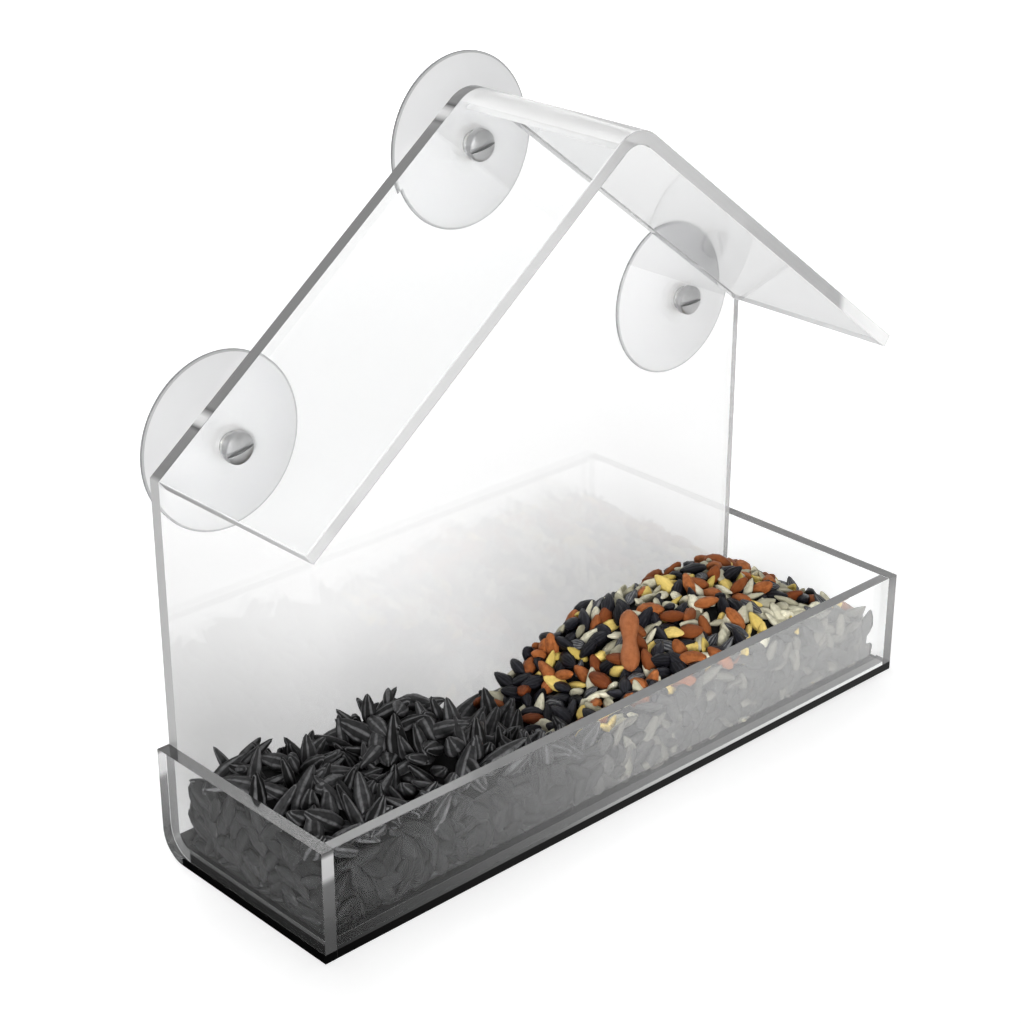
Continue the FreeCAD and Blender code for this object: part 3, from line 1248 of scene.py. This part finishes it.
@dataclass
class SeedBed:
    """Two heaps of seed in the tray: charcoal seed on the left and a coloured mix on the right."""

    body: str = "feeder"
    rng_seed: int = 7
    spacing: float = 2.45 * MM
    charcoal_spacing: float = 3.3 * MM
    tries: int = 26000
    underside_share: float = 0.25
    clearance: float = 0.2 * MM
    rear_gap: float = 2.2 * MM
    boundary: float = -8.0 * MM
    boundary_blur: float = 3.0 * MM
    base_level: float = 7.0 * MM
    front_level: float = 20.5 * MM
    rear_level: float = 17.0 * MM
    drop_start: float = 70.0 * MM
    right_drop: float = 5.0 * MM
    crest_y: float = 6.0 * MM
    core_depth: float = 2.6 * MM
    core_inset: float = 1.8 * MM
    core_grid: tuple[int, int] = (44, 12)
    core_rise: float = 1.0 * MM
    skirt: float = 0.6 * MM
    skirt_reach: float = 0.8
    skirt_slack: float = 0.1 * MM
    peanut_place: Vector = field(default_factory=lambda: Vector((19.4, -5.1, 24.8)) * MM)
    peanut_way: Vector = field(default_factory=lambda: Vector((0.558, 0.594, 0.579)))
    mounds: tuple[Mound, ...] = (
        Mound(-77.0 * MM, 19.0 * MM, 21.0 * MM), Mound(-38.0 * MM, 18.0 * MM, 13.0 * MM),
        Mound(27.0 * MM, 16.0 * MM, 20.0 * MM), Mound(60.0 * MM, 18.0 * MM, 24.5 * MM))
    mix: SeedShares = (
        (SeedMix.CREAM, 0.25), (SeedMix.YELLOW, 0.12), (SeedMix.AMBER, 0.18), (SeedMix.SLATE, 0.1),
        (SeedMix.BLACK, 0.35))
    far_mix: SeedShares = (
        (SeedMix.CREAM, 0.42), (SeedMix.YELLOW, 0.17), (SeedMix.AMBER, 0.15), (SeedMix.SLATE, 0.11),
        (SeedMix.BLACK, 0.15))
    far_start: float = 40.0 * MM
    front_grey_mix: SeedShares = ((SeedMix.FRONT_GREY, 0.82), (SeedMix.PALE, 0.18))
    pale_mix: SeedShares = ((SeedMix.FRONT_GREY, 0.5), (SeedMix.PALE, 0.5))
    pale_level: float = 13.0 * MM
    pale_depth: float = 3.5 * MM
    front_share: float = 0.6
    top_lean_spread: float = 20.0
    side_lean_spread: float = 7.0
    top_roll: float = 0.9
    side_roll: float = 0.35
    sizes: Pair = (0.85, 1.1)
    lifts: Pair = (0.2, 1.1)
    # Painted shade between the seeds: near black on the heap's top, dark grey on its sides.
    depth_greys: Pair = (0.003, 0.006)
    side_greys: Triple = (0.01, 0.02, 0.035)
    low: Vector = field(init=False)
    high: Vector = field(init=False)

    def __post_init__(self) -> None:
        """Measure the free space of the tray, whose top is open."""
        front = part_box("front_wall")
        thickness = front[1].y - front[0].y
        gap = Vector((self.clearance, self.clearance, self.clearance))
        self.low = Vector((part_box("left_end_wall")[1].x, front[1].y, thickness)) + gap
        self.high = Vector((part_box("right_end_wall")[0].x, -front[0].y - thickness, front[1].z)) - gap
        self.high -= Vector((0.0, self.rear_gap, 0.0))

    def height(self, x: float, y: float) -> float:
        """Level of the seed.

        Args:
            x: Place along the tray.
            y: Place across the tray.

        Returns:
            Height of the heap's surface there.
        """
        crest = self.base_level
        for mound in self.mounds:
            crest += mound.rise * math.exp(-((x - mound.centre) / mound.spread) ** 2)
        near_end = min(max((x - self.drop_start) / (self.high.x - self.drop_start), 0.0), 1.0)
        if y < self.crest_y:
            share = ((self.crest_y - y) / (self.crest_y - self.low.y)) ** 2
            return crest + (self.front_level - self.right_drop * near_end ** 2 - crest) * share
        share = ((y - self.crest_y) / (self.high.y - self.crest_y)) ** 2
        return crest + (min(self.rear_level, crest) - crest) * share

    def skirt_top(self) -> float:
        """Height of the core's low skirt."""
        return self.low.z + self.skirt

    def on_skirt(self, face: bmesh.types.BMFace) -> bool:
        """Tell whether a face of the core lies no higher than its skirt."""
        return max(vert.co.z for vert in face.verts) < self.skirt_top() + self.skirt_slack

    def core(self) -> bmesh.types.BMesh:
        """Make the inside of the heap, which the seed covers on all sides.

        Returns:
            A closed bmesh of triangles.
        """
        middle = (self.low + self.high) / 2.0
        size = self.high - self.low
        bm = bmesh.new()
        bmesh.ops.create_grid(bm, x_segments=self.core_grid[0], y_segments=self.core_grid[1], size=0.5)
        reach = self.skirt_reach * self.clearance
        bmesh.ops.scale(bm, vec=(size.x + 2.0 * reach, size.y + 2.0 * reach, 1.0), verts=bm.verts)
        bmesh.ops.translate(bm, vec=(middle.x, middle.y, self.low.z - reach), verts=bm.verts)
        skirt = bmesh.ops.extrude_face_region(bm, geom=list(bm.faces), use_keep_orig=True)["geom"]
        for vert in (item for item in skirt if isinstance(item, bmesh.types.BMVert)):
            vert.co.x = middle.x + (vert.co.x - middle.x) * (1.0 - 2.0 * self.core_inset / size.x)
            vert.co.y = middle.y + (vert.co.y - middle.y) * (1.0 - 2.0 * self.core_inset / size.y)
            vert.co.z = self.skirt_top()
        lid = [item for item in skirt if isinstance(item, bmesh.types.BMFace)]
        heap = bmesh.ops.extrude_face_region(bm, geom=lid)["geom"]
        bmesh.ops.delete(bm, geom=lid, context="FACES_ONLY")
        lowest = self.skirt_top() + self.core_rise
        for vert in (item for item in heap if isinstance(item, bmesh.types.BMVert)):
            vert.co.z = max(self.height(vert.co.x, vert.co.y) - self.core_depth, lowest)
        bmesh.ops.recalc_face_normals(bm, faces=bm.faces)
        bmesh.ops.triangulate(bm, faces=bm.faces)
        bm.normal_update()
        for face in bm.faces:
            face.material_index = int(face.normal.z < MAINLY or self.on_skirt(face))
        return bm

    def build(self) -> list[bpy.types.Object]:
        """Cover the heap with seed.

        Returns:
            The pieces: the core and one piece for each kind of seed.
        """
        rng = random.Random(self.rng_seed)
        core = self.core()
        heaps = {kind: self.start_heap(kind) for kind in SeedMix}
        for spot, normal in self.spots(core, rng):
            kind = self.kind_at(spot, normal, rng)
            bm, template = heaps[kind]
            self.lay(bm, template, self.pose(kind.value, spot, normal, rng), rng)
        turn = self.peanut_way.to_track_quat("Z", "Y").to_matrix().to_4x4()
        self.lay(*heaps[SeedMix.PEANUT], Matrix.Translation(self.peanut_place) @ turn, rng)
        pieces = []
        for kind, (bm, template) in heaps.items():
            bmesh.ops.delete(bm, geom=template, context="VERTS")
            pieces.append(add_piece(bm, kind.value.name, [kind.value.coat.material()], self.body))
        places = (self.low.x, self.boundary, self.high.x)
        # The core's two finishes are painted shade between the seeds.
        depth = HeapShade("heap_depth", tuple(zip((self.low.x, self.high.x), self.depth_greys)))
        sides = HeapShade("heap_sides", tuple(zip(places, self.side_greys)))
        pieces.append(add_piece(core, "seed_core", [depth.material(), sides.material()], self.body))
        return pieces

    @staticmethod
    def start_heap(kind: SeedMix) -> tuple[bmesh.types.BMesh, list[bmesh.types.BMVert]]:
        """Start the bmesh of one kind of seed.

        Args:
            kind: The kind.

        Returns:
            The bmesh and the vertices of the seed that is repeated.
        """
        bm = bmesh.new()
        bm.verts.layers.float.new(SeedShape.TONE)
        bm.verts.layers.float.new(SeedShape.ACROSS)
        return bm, kind.value.template(bm)

    def spots(self, core: bmesh.types.BMesh, rng: random.Random) -> list[tuple[Vector, Vector]]:
        """Pick places on the heap that are not too close to each other.

        Args:
            core: The heap's inside.
            rng: Source of chance.

        Returns:
            Points on its surface with their outward directions.
        """
        faces = [face for face in core.faces if face.normal.z < -MAINLY or not self.on_skirt(face)]
        faces.sort(key=lambda face: tuple(face.calc_center_median()))
        weights = [face.calc_area() * (self.underside_share if face.normal.z < -MAINLY else 1.0)
                   for face in faces]
        taken: list[tuple[Vector, Vector]] = []
        cells: dict[tuple[int, ...], list[Vector]] = {}
        shifts = list(product((-1, 0, 1), repeat=3))
        for face in rng.choices(faces, weights=weights, k=self.tries):
            a, b, c = sorted((vert.co for vert in face.verts), key=tuple)
            u, v = rng.random(), rng.random()
            if u + v > 1.0:
                u, v = 1.0 - u, 1.0 - v
            spot = a + (b - a) * u + (c - a) * v
            cell = tuple(math.floor(value / self.charcoal_spacing) for value in spot)
            near = [point for shift in shifts for point in cells.get(tuple(map(sum, zip(cell, shift))), [])]
            spacing = self.charcoal_spacing if spot.x < self.boundary else self.spacing
            if all((spot - point).length > spacing for point in near):
                cells.setdefault(cell, []).append(spot)
                taken.append((spot, face.normal.copy()))
        return taken

    def kind_at(self, spot: Vector, normal: Vector, rng: random.Random) -> SeedMix:
        """Choose the kind of seed for a place.

        Args:
            spot: The place.
            normal: Direction out of the heap there.
            rng: Source of chance.

        Returns:
            The kind.
        """
        if spot.x < self.boundary + rng.gauss(0.0, self.boundary_blur):
            # Seeds facing sideways or down get the shaded copy, painted shade.
            return SeedMix.CHARCOAL if normal.z > LEANING else SeedMix.SHADED
        shares = self.mix if spot.x < self.far_start else self.far_mix
        if normal.y < -self.front_share:
            shares = self.front_grey_mix if spot.z < self.pale_level else self.pale_mix
        elif spot.y < self.low.y + self.pale_depth:
            shares = self.pale_mix
        kinds, weights = zip(*shares)
        return rng.choices(kinds, weights=weights)[0]

    def pose(self, shape: SeedShape, spot: Vector, normal: Vector, rng: random.Random) -> Matrix:
        """Turn and place one seed, clear of the tray's walls.

        Args:
            shape: The kind of seed.
            spot: Where it lies.
            normal: Direction out of the heap there.
            rng: Source of chance.

        Returns:
            Its place.
        """
        on_top = normal.z > LEANING
        sideways = normal.orthogonal().normalized()
        sideways.rotate(Matrix.Rotation(rng.uniform(0.0, FULL_TURN), 3, normal))
        usual, chance = (shape.lean, self.top_lean_spread) if on_top else (0.0, self.side_lean_spread)
        lean = math.radians(rng.gauss(usual, chance))
        along = (sideways * math.cos(lean) + normal * math.sin(lean)).normalized()
        across = along.cross(normal).normalized()
        flat = across.cross(along).normalized()
        roll = Matrix.Rotation(rng.gauss(0.0, self.top_roll if on_top else self.side_roll), 4, "Z")
        turn = Matrix((across, flat, along)).transposed().to_4x4() @ roll
        size = rng.uniform(*self.sizes)
        lift = shape.thickness * (rng.uniform(*self.lifts) if on_top else self.lifts[0])
        place = Matrix.Translation(spot + normal * lift) @ turn @ Matrix.Scale(size, 4)
        return Matrix.Translation(self.push_in(shape, place)) @ place

    def push_in(self, shape: SeedShape, place: Matrix) -> Vector:
        """Find the shift that keeps a seed between the tray's walls.

        Args:
            shape: The kind of seed.
            place: Where it would lie.

        Returns:
            The shift.
        """
        half = Vector((shape.width, shape.thickness, shape.length)) / 2.0
        turn = place.to_3x3()
        centre = place.translation
        shift = Vector((0.0, 0.0, 0.0))
        for axis in range(3):
            reach = math.sqrt(sum((turn[axis][k] * half[k]) ** 2 for k in range(3)))
            if centre[axis] - reach < self.low[axis]:
                shift[axis] = self.low[axis] + reach - centre[axis]
            elif axis < 2 and centre[axis] + reach > self.high[axis]:
                shift[axis] = self.high[axis] - reach - centre[axis]
        return shift

    @staticmethod
    def lay(bm: bmesh.types.BMesh, template: list[bmesh.types.BMVert], place: Matrix,
            rng: random.Random) -> None:
        """Lay one seed in the heap.

        Args:
            bm: The bmesh of its kind.
            template: Vertices of the seed that is repeated.
            place: Where it lies.
            rng: Source of chance.
        """
        faces = dict.fromkeys(face for vert in template for face in vert.link_faces)
        copy = bmesh.ops.duplicate(bm, geom=[*template, *faces])
        verts = [item for item in copy["geom"] if isinstance(item, bmesh.types.BMVert)]
        tone = bm.verts.layers.float[SeedShape.TONE]
        value = rng.random()
        for vert in verts:
            vert[tone] = value
        bmesh.ops.transform(bm, matrix=place, verts=verts)
        for item in copy["geom"]:
            if isinstance(item, bmesh.types.BMFace):
                item.smooth = True


@dataclass(frozen=True)
class Lamp:
    """A square soft lamp: where it hangs, the length of its sides and its power in watts."""

    name: str
    place: Triple
    size: float
    power: float


@dataclass
class Studio:
    """White floor and room, soft lamps and the camera."""

    camera_place: Vector = field(default_factory=lambda: Vector((-315.877, -322.027, 268.467)) * MM)
    camera_aim: Vector = field(default_factory=lambda: Vector((-13.68, 0.0, 66.17)) * MM)
    lens: float = 79.16
    sensor: float = 36.0
    clip_start: float = 0.01
    floor_size: float = 6.0
    floor_drop: float = 0.3 * MM
    floor_albedo: float = 0.82
    glow: Pair = (0.43, 0.85)
    glow_span: Pair = (0.13, 0.6)
    room_light: float = 0.3
    lamps: tuple[Lamp, ...] = (
        Lamp("front_lamp", (-0.674, -0.942, 0.37), 0.25, 14.5),
        Lamp("rear_lamp", (0.35, 0.8, 0.8), 0.6, 3.0))

    def build(self) -> None:
        """Set up the floor, the room, the lamps and the camera."""
        self.floor()
        self.room()
        for lamp in self.lamps:
            self.hang(lamp)
        self.camera()

    @staticmethod
    def seen(bench: Bench) -> Socket:
        """Mask of rays that see the white room: from the camera, by reflection or through glass.

        Args:
            bench: The bench of the tree that needs it.

        Returns:
            The mask's socket.
        """
        path = bench.add("ShaderNodeLightPath")
        direct = bench.compute("MAXIMUM", path.outputs["Is Camera Ray"], path.outputs["Is Glossy Ray"])
        return bench.compute("MAXIMUM", direct, path.outputs["Is Transmission Ray"])

    def floor(self) -> None:
        """Lay the white floor, which keeps the object's shadow."""
        bm = bmesh.new()
        bmesh.ops.create_grid(bm, x_segments=1, y_segments=1, size=self.floor_size / 2.0)
        bmesh.ops.translate(bm, vec=(0.0, 0.0, -self.floor_drop), verts=bm.verts)
        mesh = bpy.data.meshes.new("floor")
        bm.to_mesh(mesh)
        bm.free()
        material, bench, output = new_material("white_floor")
        matt = bench.add("ShaderNodeBsdfDiffuse", {"Color": rgba((self.floor_albedo,) * 3)})
        glow = bench.add("ShaderNodeEmission", {"Color": rgba(WHITE)})
        away = bench.add("ShaderNodeVectorMath", operation="LENGTH")
        total = bench.add("ShaderNodeAddShader")
        bench.join(bench.place(), away.inputs[0])
        level = bench.spread(away.outputs["Value"], self.glow_span, self.glow)
        bench.join(bench.compute("MULTIPLY", self.seen(bench), level), glow.inputs["Strength"])
        bench.join(matt.outputs["BSDF"], total.inputs[0])
        bench.join(glow.outputs["Emission"], total.inputs[1])
        bench.join(total.outputs["Shader"], output.inputs["Surface"])
        mesh.materials.append(material)
        floor = bpy.data.objects.new("floor", mesh)
        bpy.context.scene.collection.objects.link(floor)

    def room(self) -> None:
        """Make the room white where it is seen, and dimmer as a light."""
        world = bpy.data.worlds.new("white_room")
        world.use_nodes = True
        world.node_tree.nodes.clear()
        bench = Bench(world.node_tree)
        output = bench.add("ShaderNodeOutputWorld")
        light = bench.add("ShaderNodeBackground", {"Color": rgba(WHITE)})
        level = bench.spread(self.seen(bench), (0.0, 1.0), (self.room_light, 1.0))
        bench.join(level, light.inputs["Strength"])
        bench.join(light.outputs["Background"], output.inputs["Surface"])
        bpy.context.scene.world = world

    def aimed(self, place: Vector) -> Euler:
        """Turn that points a lamp or camera at the feeder from a place."""
        return (self.camera_aim - place).to_track_quat("-Z", "Y").to_euler()

    def hang(self, lamp: Lamp) -> None:
        """Hang a lamp so that it points at the feeder.

        Args:
            lamp: The lamp.
        """
        data = bpy.data.lights.new(lamp.name, "AREA")
        data.shape = "SQUARE"
        data.size = lamp.size
        data.energy = lamp.power
        light = bpy.data.objects.new(lamp.name, data)
        light.location = lamp.place
        light.rotation_euler = self.aimed(Vector(lamp.place))
        light.visible_glossy = False
        bpy.context.scene.collection.objects.link(light)

    def camera(self) -> None:
        """Set the camera at the photograph's viewpoint."""
        data = bpy.data.cameras.new("camera")
        data.lens = self.lens
        data.sensor_width = self.sensor
        data.sensor_fit = "HORIZONTAL"
        data.clip_start = self.clip_start
        camera = bpy.data.objects.new("camera", data)
        camera.location = self.camera_place
        camera.rotation_euler = self.aimed(self.camera_place)
        bpy.context.scene.collection.objects.link(camera)
        bpy.context.scene.camera = camera


def main() -> None:
    """Load the frame, dress the feeder, light it and log how many pieces it has."""
    logging.basicConfig(level=logging.INFO, format="%(name)s: %(message)s")
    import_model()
    bpy.context.scene.view_settings.view_transform = "Standard"
    Studio().build()
    pieces = SheetHouse().build()
    for place in CupPlace:
        pieces += CupStack(place).build()
    pieces += SeedBed().build()
    LOG.info("%d pieces in all", len(pieces))


if __name__ == "__main__":
    main()
